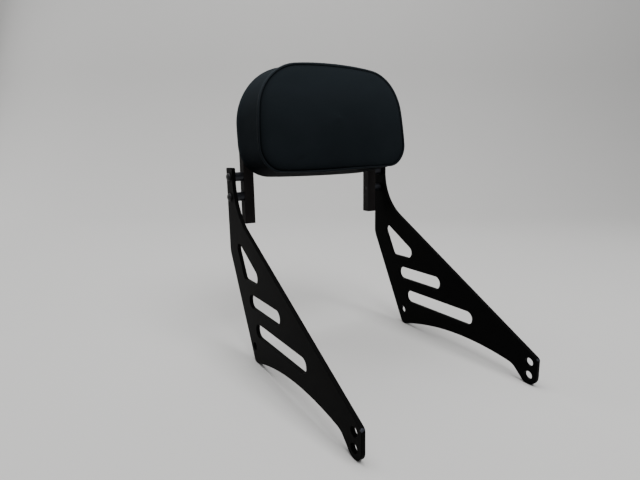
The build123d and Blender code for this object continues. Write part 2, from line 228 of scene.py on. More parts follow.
@dataclass(frozen=True)
class PowderCoat(Finish):
    """Satin black powder coat, chipped down to the metal where a corner was knocked.

    Attributes:
        peel: Strength of the coat's fine bumps.
        specular: Level of its gloss.
        knock: Place of the knocked corner, along and up, if there is one.
        knock_reach: How far from there the coat is chipped, about.
    """

    colour: Colour = (0.0016, 0.0016, 0.0016)
    roughness: float = 0.5
    peel: float = 0.35
    specular: float = 0.02
    knock: Optional[tuple[float, float]] = None
    knock_reach: float = 3.2 * MM

    def surface(self, graph: Graph, place: Value) -> dict[str, Any]:
        """A slightly clouded coat with fine bumps, and bare metal in the chip."""
        clouds = graph.noise(place, scale=14.0, detail=3.0)
        peel = graph.noise(place, scale=1100.0, detail=1.0)
        paler = tuple(c * 1.35 for c in self.colour)
        colour = graph.blend(clouds.step(0.35, 0.75), self.colour, paler)
        rough = self.roughness + (clouds - 0.5) * 0.10
        metal: Any = 0.0
        height = peel
        if self.knock is not None:
            chip = self._chip(graph, place)
            bare = graph.blend(graph.noise(place, scale=900.0), (0.014, 0.015, 0.020), (0.075, 0.078, 0.092))
            colour = graph.blend(chip, colour, bare)
            rough = rough + chip * 0.05
            metal = chip * 0.9
            height = peel - chip * 2.0
        return {
            "Base Color": colour,
            "Roughness": rough,
            "Metallic": metal,
            "Specular IOR Level": self.specular,
            "Normal": graph.bump(height, self.peel, 0.06 * MM),
        }

    def _chip(self, graph: Graph, place: Value) -> Value:
        """One where the coat is chipped off and zero elsewhere, with a ragged edge."""
        _, along, up = graph.axes(place)
        away = ((along - self.knock[0]) ** 2.0 + (up - self.knock[1]) ** 2.0) ** 0.5
        ragged = graph.noise(place, scale=700.0, detail=4.0, roughness=0.7) - 0.5
        reach = self.knock_reach
        return (away + ragged * (reach * 2.2)).step(reach * 0.62, reach * 0.5)


@dataclass(frozen=True)
class Steel(Finish):
    """Plain steel part: turned, plated or blackened."""

    colour: Colour
    roughness: float
    metallic: float = 1.0
    stain: float = 0.2

    def surface(self, graph: Graph, place: Value) -> dict[str, Any]:
        """Metal with faint stains and fine tool marks."""
        stains = graph.noise(place, scale=240.0, detail=3.0)
        marks = graph.noise(graph.stretched(place, (2600.0, 320.0, 320.0)), scale=1.0)
        dark = tuple(c * (1.0 - self.stain) for c in self.colour)
        return {
            "Base Color": graph.blend(stains.step(0.3, 0.7), dark, self.colour),
            "Roughness": self.roughness + (stains - 0.5) * 0.16,
            "Metallic": self.metallic,
            "Normal": graph.bump(marks, strength=0.12, distance=0.04 * MM),
        }


@dataclass(frozen=True)
class Leatherette(Finish):
    """Grained black leatherette, with random paler clouds, painted highlights at the top and on the rear
    rim, and painted shade in the groove beside the piping and on the underside.

    Attributes:
        grain: Strength of the grain's bumps.
        grain_scale: Grain cells per metre.
        specular: Level of its gloss.
        tint: Colour of that gloss.
        painted_rim_highlight: How many times paler it is painted on the rear rim, as a painted highlight.
        painted_top_light: How many times paler it is painted at the top, as light falling from above.
        top_light_from: Height at which the painted light begins.
        top_light_to: Height at which it is complete.
    """

    colour: Colour = (0.0082, 0.0105, 0.0124)
    roughness: float = 0.78
    grain: float = 0.5
    grain_scale: float = 780.0
    specular: float = 0.012
    tint: Colour = (0.62, 0.82, 1.0)
    painted_rim_highlight: float = 2.6
    painted_top_light: float = 1.61
    top_light_from: float = 0.285
    top_light_to: float = 0.365

    def surface(self, graph: Graph, place: Value) -> dict[str, Any]:
        """Leatherette whose grain is a field of small rounded cells."""
        warp = graph.node("ShaderNodeTexNoise", {"Vector": place, "Scale": 420.0}, output="Color")
        moved = graph.stretched(warp, (1.6 * MM,) * 3)
        grained = graph.node("ShaderNodeVectorMath", {0: place, 1: moved}, operation="ADD")
        grid = {"Vector": grained, "Scale": self.grain_scale}
        cells = graph.node("ShaderNodeTexVoronoi", grid, output="Distance", feature="SMOOTH_F1")
        pores = graph.noise(place, scale=2100.0, detail=1.0)
        hand = graph.noise(place, scale=9.0, detail=3.0)
        height = (1.0 - cells) + pores * 0.25
        lighter = tuple(c * 1.3 for c in self.colour)
        tone_and_painted_light = graph.blend(hand.step(0.3, 0.75), self.colour, lighter)
        # Painted light: above a height the colour is made paler, standing in for light falling from above on
        # the top of the pad.
        up = graph.axes(place)[2]
        top_lit_colour = tuple(c * self.painted_top_light for c in self.colour)
        tone_and_painted_light = graph.blend(up.step(self.top_light_from, self.top_light_to), tone_and_painted_light, top_lit_colour)
        # Painted highlight: the colour is made paler along the rear rim where the mesh stores it.
        painted_rim_highlight = graph.node("ShaderNodeAttribute", output="Fac", attribute_name=PAINTED_RIM_HIGHLIGHT)
        tone_and_painted_light = graph.blend(painted_rim_highlight, tone_and_painted_light, tuple(c * self.painted_rim_highlight for c in self.colour))
        # Painted shade: the colour is blended towards almost black where shade is stored on the mesh.
        painted_shade = graph.node("ShaderNodeAttribute", output="Fac", attribute_name=PAINTED_SHADE)
        return {
            "Base Color": graph.blend(painted_shade * 0.9, tone_and_painted_light, (0.0005, 0.0005, 0.0006)),
            "Roughness": self.roughness + (hand - 0.5) * 0.12 + (cells - 0.4) * 0.10,
            "Specular IOR Level": self.specular,
            "Specular Tint": graph.colour(self.tint),
            "Normal": graph.bump(height, self.grain, 0.14 * MM),
        }


@dataclass(frozen=True)
class Lining(Finish):
    """Black woven lining cloth; the number of its threads sets how fine it is."""

    colour: Colour = (0.0075, 0.0075, 0.008)
    threads: float = 1500.0

    def surface(self, graph: Graph, place: Value) -> dict[str, Any]:
        """Cloth whose crossing threads are bumps."""
        across, _, up = graph.axes(graph.stretched(place, (self.threads,) * 3))
        weave = graph.maths("SINE", across * 2.0) * graph.maths("SINE", up * 2.0)
        fuzz = graph.noise(place, scale=600.0, detail=3.0)
        return {
            "Base Color": graph.blend(fuzz, self.colour, tuple(c * 1.8 for c in self.colour)),
            "Roughness": 0.86 + (fuzz - 0.5) * 0.1,
            "Specular IOR Level": 0.25,
            "Normal": graph.bump(weave, strength=0.3, distance=0.1 * MM),
        }


@dataclass(frozen=True)
class Raw(Finish):
    """Plywood or foam: a matt two-toned body, whose pattern may be stretched."""

    light: Colour
    dark: Colour
    stretch: Triple = (1.0, 1.0, 1.0)
    scale: float = 1.0
    roughness: float = 0.8

    def surface(self, graph: Graph, place: Value) -> dict[str, Any]:
        """Layers or pores from one stretched noise."""
        pattern = graph.noise(graph.stretched(place, self.stretch), self.scale, detail=4.0)
        return {
            "Base Color": graph.blend(pattern.step(0.35, 0.65), self.dark, self.light),
            "Roughness": self.roughness + (pattern - 0.5) * 0.1,
            "Normal": graph.bump(pattern, strength=0.3, distance=0.3 * MM),
        }


@dataclass(frozen=True)
class Studio(Finish):
    """Pale matt floor or backdrop."""

    colour: Colour

    def surface(self, graph: Graph, place: Value) -> dict[str, Any]:
        """A nearly even pale surface."""
        clouds = graph.noise(place, scale=1.6, detail=3.0)
        darker = tuple(c * 0.96 for c in self.colour)
        return {
            "Base Color": graph.blend(clouds, darker, self.colour),
            "Roughness": 0.9,
            "Specular IOR Level": 0.2,
        }


def make_object(name: str, points: Any, faces: Iterable[Sequence[int]]) -> Object:
    """Makes a smooth-shaded mesh object in the scene.

    Args:
        name: Name of the object and its mesh.
        points: Corner points in metres of the row frame.
        faces: Corner numbers of each face.

    Returns:
        The new object.
    """
    mesh = bpy.data.meshes.new(name)
    mesh.from_pydata([tuple(map(float, p)) for p in points], [], [tuple(f) for f in faces])
    mesh.polygons.foreach_set("use_smooth", [True] * len(mesh.polygons))
    mesh.update()
    made = bpy.data.objects.new(name, mesh)
    bpy.context.scene.collection.objects.link(made)
    return made


def face_outwards(made: Object) -> None:
    """Turns all faces of a closed mesh outwards."""
    shell = bmesh.new()
    shell.from_mesh(made.data)
    bmesh.ops.recalc_face_normals(shell, faces=shell.faces)
    shell.to_mesh(made.data)
    shell.free()


def mesh_points(data: bpy.types.Mesh) -> Array:
    """Corner points of a mesh."""
    flat = np.zeros(len(data.vertices) * 3)
    data.vertices.foreach_get("co", flat)
    return flat.reshape(-1, 3)


def ruffle(place: Array, scale: float) -> Array:
    """Smooth noise from about -1 to 1 at many places."""
    return np.array([noise.noise(Vector(point * scale)) for point in place])


def unit(vector: Array) -> Array:
    """Vectors scaled to length one along the last axis."""
    return vector / np.maximum(np.linalg.norm(vector, axis=-1, keepdims=True), TINY)


def store(made: Object, name: str, values: Array) -> None:
    """Keeps one number for each point of a mesh, for its material to read."""
    made.data.attributes.new(name, "FLOAT", "POINT").data.foreach_set("value", values)


def node_points(name: str) -> Array:
    """Corner points of a CAD node."""
    return mesh_points(frame["nodes"][name].data)


def node_tree(*names: str) -> BVHTree:
    """Search tree over the surfaces of some CAD nodes."""
    points: list[Vector] = []
    faces: list[tuple[int, ...]] = []
    for name in names:
        data = frame["nodes"][name].data
        first = len(points)
        points.extend(v.co.copy() for v in data.vertices)
        faces.extend(tuple(first + i for i in p.vertices) for p in data.polygons)
    return BVHTree.FromPolygons(points, faces)


@dataclass
class SeamPlane:
    """Plane through a CAD node, with its own level and rising directions.

    Attributes:
        centre: Middle of the node's extent in the plane.
        right: Direction across the object.
        rise: Direction up the plane.
        front: Direction out of the plane, towards the rider.
    """

    centre: Array
    right: Array
    rise: Array
    front: Array

    @classmethod
    def through(cls, name: str) -> "SeamPlane":
        """Fits the plane to a flat CAD node.

        Args:
            name: Name of the node.

        Returns:
            The plane, facing towards the front of the object.
        """
        points = node_points(name)
        middle = points.mean(0)
        front = np.linalg.svd(points - middle, full_matrices=False)[2][2]
        front = front * (-1.0 if front[1] > 0 else 1.0)
        right = np.array([1.0, 0.0, 0.0])
        rise = unit(np.cross(front, right))
        rise = rise * (1.0 if rise[2] > 0 else -1.0)
        flat = np.stack([(points - middle) @ right, (points - middle) @ rise], 1)
        half = (flat.max(0) + flat.min(0)) / 2
        centre = middle + half[0] * right + half[1] * rise
        return cls(centre, right, rise, unit(front))


@dataclass
class PadShape:
    """Outer shape of the pad, measured on the CAD's cover by rays.

    Attributes:
        columns: float of points round the pad; a multiple of four.
        piping_radius: Half the piping's thickness.
        bulge: How far the foam presses the boxing out between its edges.
        roll: Radius with which the boxing turns over the board's back.
        rim_fullness: How far the cover stands out over the board's edge.
        side_fullness: How much further it stands out there at the sides.
        seam_slip: How far outside the CAD's the sewn seam lies at most, as sewn by hand.
        slip_angle: Direction in which it lies out most, the low left corner.
        seam_cuts: Where the seam runs further in: middle and half width in degrees, and length.
        shoulder: Height that the face gains close to its seam.
        low_shoulder: Share by which that height is larger towards the low left corner.
        shoulder_width: Distance over which it gains most of that height.
        dome: Height that it gains from there to its middle.
        face_plane: Plane of the piping.
        back_plane: Plane of the back panel.
        angles: Directions from the middle of a plane, one for each column.
    """

    columns: int = 256
    piping_radius: float = 1.55 * MM
    bulge: float = 0.9 * MM
    roll: float = 2.4 * MM
    rim_fullness: float = 1.2 * MM
    side_fullness: float = 1.3 * MM
    seam_slip: float = 4.0 * MM
    slip_angle: float = math.radians(215.0)
    seam_cuts: tuple[Triple, ...] = (
        (204.0, 13.0, 2.4 * MM),
        (333.0, 13.0, 2.0 * MM),
        (0.0, 40.0, 0.6 * MM),
        (14.0, 14.0, 1.1 * MM),
    )
    shoulder: float = 3.6 * MM
    low_shoulder: float = 0.5
    shoulder_width: float = 6.0 * MM
    dome: float = 2.8 * MM
    face_plane: SeamPlane = field(init=False)
    back_plane: SeamPlane = field(init=False)
    angles: Array = field(init=False)

    def __post_init__(self) -> None:
        self.face_plane = SeamPlane.through("cover_piping")
        self.back_plane = SeamPlane.through("cover_back")
        self._cover = node_tree("cover_boxing")
        self._cord = node_tree("cover_piping")
        self._panel = node_tree("cover_back")
        self.angles = self._even_angles()

    @property
    def panel_half(self) -> float:
        """Half the thickness of the CAD's back panel."""
        level = (node_points("cover_back") - self.back_plane.centre) @ self.back_plane.front
        return float(np.abs(level).max())

    def _even_angles(self) -> Array:
        """Angles whose seam points are evenly spaced along the seam."""
        dense = np.linspace(0, FULL_TURN, SEAM_SAMPLES)
        points = self.seam(dense)
        along = np.concatenate([[0.0], np.cumsum(np.linalg.norm(np.diff(points, axis=0), axis=1))])
        wanted = np.linspace(0, along[-1], self.columns + 1)[:-1]
        return np.interp(wanted, along, dense)

    @staticmethod
    def _outline(tree: BVHTree, centre: Array, ways: Array) -> Array:
        """Outermost points of a surface in some directions from a centre."""
        found = []
        for way in ways:
            origin = Vector(centre + way * RAY_START)
            hit = tree.ray_cast(origin, Vector(-way))[0] or tree.find_nearest(origin)[0]
            found.append(np.array(hit))
        return np.array(found)

    @staticmethod
    def _ways(plane: SeamPlane, angles: Array) -> Array:
        """Directions in a plane at some angles."""
        return np.cos(angles)[:, None] * plane.right + np.sin(angles)[:, None] * plane.rise

    def nearness(self, angles: Array) -> Array:
        """One towards the low left corner, falling to zero on the far side, as a column."""
        return (0.5 + 0.5 * np.cos(angles - self.slip_angle))[:, None]

    def slip(self, angles: Array) -> Array:
        """How far the sewn seam lies out at some angles, as a column of lengths."""
        out = self.seam_slip * self.nearness(angles) ** 2
        for middle, width, length in self.seam_cuts:
            away = (np.degrees(angles) - middle + 180.0) % 360.0 - 180.0
            out -= length * np.exp(-((away / width) ** 2))[:, None]
        return out

    def seam(self, angles: Array) -> Array:
        """Centre line of the piping at some angles."""
        ways = self._ways(self.face_plane, angles)
        outline = self._outline(self._cord, self.face_plane.centre, ways)
        return outline + ways * (self.slip(angles) - self.piping_radius)

    def ring(self, share: float) -> Array:
        """Points of the cover's outside between the back (0) and the piping's plane (1)."""
        back, face = self.back_plane, self.face_plane
        centre = back.centre * (1 - share) + face.centre * share
        rise = unit(back.rise * (1 - share) + face.rise * share)
        plane = SeamPlane(centre, back.right, rise, back.front)
        return self._outline(self._cover, centre, self._ways(plane, self.angles))

    def panel_rim(self) -> Array:
        """Outline of the back panel."""
        return self._outline(self._panel, self.back_plane.centre, self._ways(self.back_plane, self.angles))

    def crown(self, edge: Array, share: float) -> Array:
        """Point of the crowned face on the way from its middle (share 0) to an edge point (1)."""
        plane = self.face_plane
        out = edge - plane.centre
        inward = np.linalg.norm(out) * (1.0 - share)
        angle = math.atan2(out @ plane.rise, out @ plane.right)
        near = float(self.nearness(np.array([angle]))[0, 0])
        height = self.shoulder * (1.0 + self.low_shoulder * near**3)
        lift = height * (1.0 - math.exp(-inward / self.shoulder_width)) + self.dome * (1.0 - share**2)
        return plane.centre + out * share + plane.front * lift


@dataclass
class ClosedMesh:
    """Points and faces of a mesh that is built up ring by ring."""

    points: list[Array] = field(default_factory=list)
    faces: list[tuple[int, ...]] = field(default_factory=list)
    panels: list[int] = field(default_factory=list)

    def add(self, ring: Iterable[Array]) -> list[int]:
        """Adds points and returns their numbers."""
        first = len(self.points)
        self.points.extend(ring)
        return list(range(first, len(self.points)))

    def bridge(self, low: list[int], high: list[int], panel: Panel = Panel.FACE) -> None:
        """Joins two rings of the same length with a band of faces."""
        for i in range(len(low)):
            j = (i + 1) % len(low)
            self.faces.append((low[i], low[j], high[j], high[i]))
            self.panels.append(panel.value)

    def cap(self, ring: list[int], panel: Panel = Panel.FACE) -> int:
        """Closes a ring with a fan and returns the number of its middle point."""
        middle = self.add([np.mean([self.points[i] for i in ring], axis=0)])[0]
        for i in range(len(ring)):
            self.faces.append((ring[i], middle, ring[(i + 1) % len(ring)]))
            self.panels.append(panel.value)
        return middle

    def make(self, name: str) -> Object:
        """Makes the object, with its panels as material numbers."""
        made = make_object(name, self.points, self.faces)
        made.data.polygons.foreach_set("material_index", self.panels)
        face_outwards(made)
        return made


# Rings that are sewn round the piping, from the boxing to the face: how far each lies outwards
# and forwards of the piping's centre line, in shares of the piping's radius.
SEWN_RINGS: tuple[tuple[float, float, Panel], ...] = (
    (0.55, -0.85, Panel.BOXING),
    (-0.2, -1.0, Panel.BOXING),
    (-0.95, -0.85, Panel.FACE),
    (-1.1, -0.35, Panel.FACE),
    (-1.15, 0.2, Panel.FACE),
)


@dataclass
class Cushion:
    """The sewn and stuffed part of the pad: face, boxing and the fold behind the board.

    Attributes:
        shape: Measured shape of the pad.
        start_inset: How much smaller the middle of the boxing starts.
        loose_edge: Share by which the face's sewn edge is wider towards the low left corner.
        least_sink: Share of its depth that this edge has on the far side.
        pressure: Pressure of the foam on the cover in the cloth simulation.
        frames: Length of the simulation.
        reach: Farthest that a point of the cover may move in the simulation.
        evening: How many times the moves are spread over their neighbours.
        pucker: Depth of the gathers where the boxing is pulled round the corners.
        stitch_pull: Depth to which the stitches pull the cover beside the piping.
        swells: Uneven filling, as waves per metre, height and shift of each layer.
    """

    shape: PadShape
    start_inset: float = 0.5 * MM
    loose_edge: float = 0.5
    least_sink: float = 0.3
    pressure: float = 4.0
    frames: int = 20
    reach: float = 3.0 * MM
    evening: int = 30
    pucker: float = 0.8 * MM
    stitch_pull: float = 0.16 * MM
    swells: tuple[Triple, ...] = ((24.0, 0.45 * MM, 0.0), (60.0, 0.14 * MM, 5.0))
    mesh: ClosedMesh = field(default_factory=ClosedMesh)
    pinned: list[int] = field(default_factory=list)

    def build(self) -> Object:
        """Makes the cushion.

        Returns:
            The finished object.
        """
        self._add_face(self._add_boxing())
        made = self.mesh.make("cushion")
        self._inflate(made)
        self._refine(made)
        self._work_cover(made)
        return made

    def _add_boxing(self) -> list[int]:
        """Adds the boxing and its fold, and returns the ring that is sewn to the face."""
        shape = self.shape
        back, face = shape.back_plane, shape.face_plane
        lip_level = shape.panel_half
        depth = float((face.centre - back.centre) @ back.front)
        first = (lip_level + shape.roll) / depth
        rings = []
        last, count, rim_fade = 0.955, 20, 0.2
        for share in np.linspace(first, last, count):
            ring = shape.ring(share)
            centre = back.centre * (1 - share) + face.centre * share
            way = (share - first) / (1 - first)
            outward = unit(ring - centre)
            full = shape.rim_fullness + shape.side_fullness * outward[:, :1] ** 4
            full *= math.exp(-way / rim_fade)
            full += (shape.bulge - self.start_inset) * math.sin(math.pi * way)
            rings.append(ring + outward * (full + shape.slip(shape.angles) * way**3))
        level = ((rings[0] - back.centre) @ back.front)[:, None] * back.front
        outward = unit(rings[0] - level - back.centre)
        rim = rings[0] - level + back.front * (lip_level + shape.roll)
        turned = []
        steps = 4
        for step in range(steps, 0, -1):
            angle = math.pi / 2 * step / steps
            inset = shape.roll * (1 - math.cos(angle))
            turned.append(rim - outward * inset - back.front * shape.roll * math.sin(angle))
        fold = [turned[0] - outward * inset * MM for inset in (22, 12, 4)]
        numbers = [self.mesh.add(ring) for ring in [*fold, *turned, *rings]]
        middle = self.mesh.cap(numbers[0], Panel.BACK)
        for index, (low, high) in enumerate(zip(numbers, numbers[1:])):
            self.mesh.bridge(low, high, Panel.BACK if index < len(fold) else Panel.BOXING)
        for ring in numbers[: len(fold) + 2]:
            self.pinned.extend(ring)
        self.pinned.append(middle)
        return numbers[-1]

    def _add_face(self, boxing_edge: list[int]) -> None:
        """Adds the rings sewn to the boxing's edge, and the face: a square grid inside the last one."""
        shape = self.shape
        plane = shape.face_plane
        seam = shape.seam(shape.angles)
        outward = unit(seam - plane.centre)
        radius = shape.piping_radius
        near = shape.nearness(shape.angles)
        wider = 1.0 + self.loose_edge * near
        deeper = self.least_sink + (1.0 - self.least_sink) * near
        last = boxing_edge
        for outwards, forwards, panel in SEWN_RINGS:
            on_face = panel is Panel.FACE
            spread = outwards * wider if on_face else outwards
            sunk = forwards * deeper if on_face and forwards < 0 else forwards
            ring = self.mesh.add(seam + outward * radius * spread + plane.front * radius * sunk)
            self.mesh.bridge(last, ring, panel)
            if forwards < 0:
                self.pinned.extend(ring)
            last = ring
        inner = seam + outward * radius * SEWN_RINGS[-1][0] * wider
        side = shape.columns // 4
        grid = np.zeros((side + 1, side + 1), int)
        for a in range(side + 1):
            for b in range(side + 1):
                u, v = 2 * a / side - 1, 2 * b / side - 1
                share = max(abs(u), abs(v))
                if share > 1 - TINY:
                    continue
                position = self._square_position(u, v, share) * shape.columns
                low = int(math.floor(position)) % shape.columns
                between = position - math.floor(position)
                edge = inner[low] * (1 - between) + inner[(low + 1) % shape.columns] * between
                grid[a, b] = self.mesh.add([shape.crown(edge, share)])[0]
        for index, (a, b) in enumerate(self._square_border(side)):
            grid[a, b] = last[index]
        for a in range(side):
            for b in range(side):
                self.mesh.faces.append((grid[a, b], grid[a + 1, b], grid[a + 1, b + 1], grid[a, b + 1]))
                self.mesh.panels.append(Panel.FACE.value)

    @staticmethod
    def _square_position(u: float, v: float, radius: float) -> float:
        """Share of the way round a square, from the middle of its right side, anticlockwise."""
        if radius < TINY:
            return 0.0
        u, v = u / radius, v / radius
        if u >= 1 - TINY:
            turn = v / 8
        elif v >= 1 - TINY:
            turn = 1 / 4 - u / 8
        elif u <= -1 + TINY:
            turn = 1 / 2 - v / 8
        else:
            turn = 3 / 4 + u / 8
        return turn % 1.0

    @staticmethod
    def _square_border(side: int) -> list[tuple[int, int]]:
        """Grid places of the border, in the order of the ring's points."""
        half = side // 2
        places = [(side, half + k) for k in range(half + 1)]
        places += [(side - k, side) for k in range(1, side + 1)]
        places += [(0, side - k) for k in range(1, side + 1)]
        places += [(k, 0) for k in range(1, side + 1)]
        places += [(side, k) for k in range(1, half)]
        return places

    def _inflate(self, made: Object) -> None:
        """Lets the cover settle under the foam's pressure, between its sewn edges."""
        before = mesh_points(made.data)
        group = made.vertex_groups.new(name="sewn")
        group.add(self.pinned, 1.0, "REPLACE")
        cloth = made.modifiers.new("cloth", "CLOTH")
        settings = cloth.settings
        settings.vertex_group_mass = "sewn"
        settings.quality = 6
        settings.mass = 0.25
        settings.tension_stiffness = 30
        settings.compression_stiffness = 30
        settings.shear_stiffness = 12
        settings.bending_stiffness = 1.5
        settings.air_damping = 2.0
        settings.shrink_min = 0.0
        settings.use_pressure = True
        settings.uniform_pressure_force = self.pressure
        settings.effector_weights.gravity = 0.0
        cloth.collision_settings.use_collision = False
        cloth.point_cache.frame_start = 1
        cloth.point_cache.frame_end = self.frames
        scene = bpy.context.scene
        for number in range(1, self.frames + 1):
            scene.frame_set(number)
        settled = made.evaluated_get(bpy.context.evaluated_depsgraph_get())
        moved = mesh_points(settled.data) - before
        length = np.linalg.norm(moved, axis=1, keepdims=True)
        moved *= np.minimum(1.0, self.reach / np.maximum(length, TINY))
        moved = self._evened(made.data, moved)
        log.info("cover moved at most %.2f mm", np.linalg.norm(moved, axis=1).max() / MM)
        made.modifiers.clear()
        made.data.vertices.foreach_set("co", (before + moved).ravel())
        made.data.update()
        scene.frame_set(1)

    def _evened(self, data: bpy.types.Mesh, moved: Array) -> Array:
        """Spreads each point's move over its neighbours, so that no thin fold is left."""
        ends = np.zeros(len(data.edges) * 2, int)
        data.edges.foreach_get("vertices", ends)
        low, high = ends.reshape(-1, 2).T
        free = np.ones(len(moved), bool)
        free[self.pinned] = False
        for _ in range(self.evening):
            total, count = moved.copy(), np.ones((len(moved), 1))
            for one, other in ((low, high), (high, low)):
                np.add.at(total, one, moved[other])
                np.add.at(count, one, 1.0)
            moved = np.where(free[:, None], total / count, moved)
        return moved

    @staticmethod
    def _refine(made: Object) -> None:
        """Subdivides the settled cover once and applies that."""
        smooth = made.modifiers.new("smooth", "SUBSURF")
        smooth.levels = smooth.render_levels = 1
        refined = bpy.data.meshes.new_from_object(made.evaluated_get(bpy.context.evaluated_depsgraph_get()))
        made.modifiers.clear()
        coarse, made.data = made.data, refined
        bpy.data.meshes.remove(coarse)

    def _work_cover(self, made: Object) -> None:
        """Presses in what sewing and stuffing leave, and marks where shade and a highlight are painted on
        the cover.
        """
        shape = self.shape
        points = mesh_points(made.data)
        normals = np.zeros(len(points) * 3)
        made.data.vertices.foreach_get("normal", normals)
        normals = normals.reshape(-1, 3)
        seam = shape.seam(shape.angles)
        place, bend = self._along_seam(seam, points)
        from_back = (points - shape.back_plane.centre) @ shape.back_plane.front
        from_seam = (points - shape.face_plane.centre) @ shape.face_plane.front
        distance = np.linalg.norm(points - self._nearest(seam, points), axis=1) - shape.piping_radius
        self._paint_shade(made, points, normals, seam)
        self._paint_rim_highlight(made, points, from_back)
        inset = self._gathers(place, bend, from_back) + self._stitches(place, distance, from_seam)
        raised = self._filling(points, distance, from_back) - inset
        made.data.vertices.foreach_set("co", (points + normals * raised[:, None]).ravel())
        made.data.update()

    def _along_seam(self, seam: Array, points: Array) -> tuple[Array, Array]:
        """Where points lie along the seam, and how sharply it bends there.

        Args:
            seam: Centre line of the piping.
            points: Points of the cover.

        Returns:
            Lengths along the seam, and bends as shares of the sharpest one.
        """
        face, angles = self.shape.face_plane, self.shape.angles
        gap = np.linalg.norm(np.diff(np.vstack([seam, seam[:1]]), axis=0), axis=1)
        along = np.concatenate([[0.0], np.cumsum(gap)])
        turn = np.unwrap(np.append(angles, angles[0] + FULL_TURN))
        flat = points - face.centre
        angle = np.arctan2(flat @ face.rise, flat @ face.right) % FULL_TURN
        place = np.interp((angle - turn[0]) % FULL_TURN, turn - turn[0], along)
        heading = unit(np.roll(seam, -1, axis=0) - seam)
        span = 3
        bend = np.linalg.norm(np.roll(heading, -span, axis=0) - np.roll(heading, span, axis=0), axis=1)
        return place, np.interp(place, along, np.append(bend, bend[0]) / bend.max())

    def _gathers(self, place: Array, bend: Array, from_back: Array) -> Array:
        """Depth of the gathers, which are deepest at the rear edge where the seam bends."""
        start, fade = 2 * MM, 7 * MM
        rear = np.exp(-np.maximum(0.0, from_back - start) / fade) * (from_back > self.shape.panel_half)
        waves = ruffle(np.stack([place, from_back * 0.12, 0 * place], 1), 260.0)
        return self.pucker * rear * bend * np.abs(waves)

    def _stitches(self, place: Array, distance: Array, from_seam: Array) -> Array:
        """Depth to which the stitches pull the cover in, beside the piping alone."""
        fade, reach, length = 2.5 * MM, 12 * MM, 4.2 * MM
        beside = np.exp(-np.maximum(0.0, distance) / fade) * (from_seam > -reach)
        return self.stitch_pull * beside * (0.5 + 0.5 * np.cos(place * FULL_TURN / length))

    def _filling(self, points: Array, distance: Array, from_back: Array) -> Array:
        """Height of the uneven filling, which fades out towards the seam and the rear edge."""
        uneven = sum(ruffle(points + shift, scale) * height for scale, height, shift in self.swells)
        beside, start, behind = 14 * MM, 3 * MM, 12 * MM
        soft = np.clip(distance / beside, 0, 1) * np.clip((from_back - start) / behind, 0, 1)
        return uneven * soft

    def _paint_rim_highlight(self, made: Object, points: Array, from_back: Array) -> None:
        """Stores where a highlight is painted on the cover: a pale band along the rear rim, uneven."""
        middle, width = 3.5 * MM, 4.0 * MM
        rim = np.exp(-(((from_back - middle) / width) ** 2))
        rim *= (from_back > self.shape.panel_half) * (0.65 + 0.35 * ruffle(points + 9.0, 90.0))
        store(made, PAINTED_RIM_HIGHLIGHT, np.clip(rim, 0.0, 1.0))

    def _paint_shade(self, made: Object, points: Array, normals: Array, seam: Array) -> None:
        """Stores where shade is painted on the cover: in the groove beside the piping, on the steep flank
        near the low left corner and on the underside.
        """
        plane = self.shape.face_plane
        radius = self.shape.piping_radius
        # Line in the groove beside the piping, along which the painted shade is darkest.
        painted_shade = seam - unit(seam - plane.centre) * radius * 1.35 - plane.front * radius * 0.5
        nearest = self._nearest(painted_shade, points)
        away = np.linalg.norm(points - nearest, axis=1)
        flat = points - plane.centre
        near = self.shape.nearness(np.arctan2(flat @ plane.rise, flat @ plane.right))[:, 0]
        inside = np.linalg.norm(flat, axis=1) < np.linalg.norm(nearest - plane.centre, axis=1)
        width, fade = 1.1 * MM, 3.5 * MM
        # Painted shade in the groove, on the face's flank and on the downward-facing underside.
        groove = np.exp(-((away / width) ** 2)) * np.clip(near * 1.4 - 0.3, 0.0, 1.0)
        shade = 0.7 * inside * near**3 * np.exp(-away / fade)
        underside = np.clip(-1.6 * normals[:, 2] - 0.25, 0.0, 0.92) * (flat @ plane.front < -radius)
        store(made, PAINTED_SHADE, np.maximum(np.maximum(groove, shade), underside))

    @staticmethod
    def _nearest(line: Array, points: Array) -> Array:
        """Nearest of the line's points to each of many points."""
        tree = KDTree(len(line))
        for index, point in enumerate(line):
            tree.insert(Vector(point), index)
        tree.balance()
        return line[[tree.find(Vector(point))[1] for point in points]]


@dataclass
class Piping:
    """Round cord sewn into the seam between face and boxing.

    Attributes:
        around: Points round the cord.
        uneven: Share by which its radius varies.
    """

    shape: PadShape
    around: int = 14
    uneven: float = 0.04

    def build(self) -> Object:
        """Makes the piping.

        Returns:
            A closed tube along the seam.
        """
        shape = self.shape
        plane = shape.face_plane
        closed = np.append(shape.angles, shape.angles[0] + FULL_TURN)
        halves = np.arange(2 * shape.columns) / 2
        centre = shape.seam(np.interp(halves, np.arange(shape.columns + 1), closed))
        outward = unit(centre - plane.centre)
        radii = shape.piping_radius * (1 + self.uneven * ruffle(centre, 110.0))
        mesh = ClosedMesh()
        turns = FULL_TURN * np.arange(self.around) / self.around
        rings = []
        for middle, out, radius in zip(centre, outward, radii):
            ring = [middle + radius * (math.cos(t) * out + math.sin(t) * plane.front) for t in turns]
            rings.append(mesh.add(ring))
        for low, high in zip(rings, [*rings[1:], rings[0]]):
            mesh.bridge(low, high)
        return mesh.make("piping")


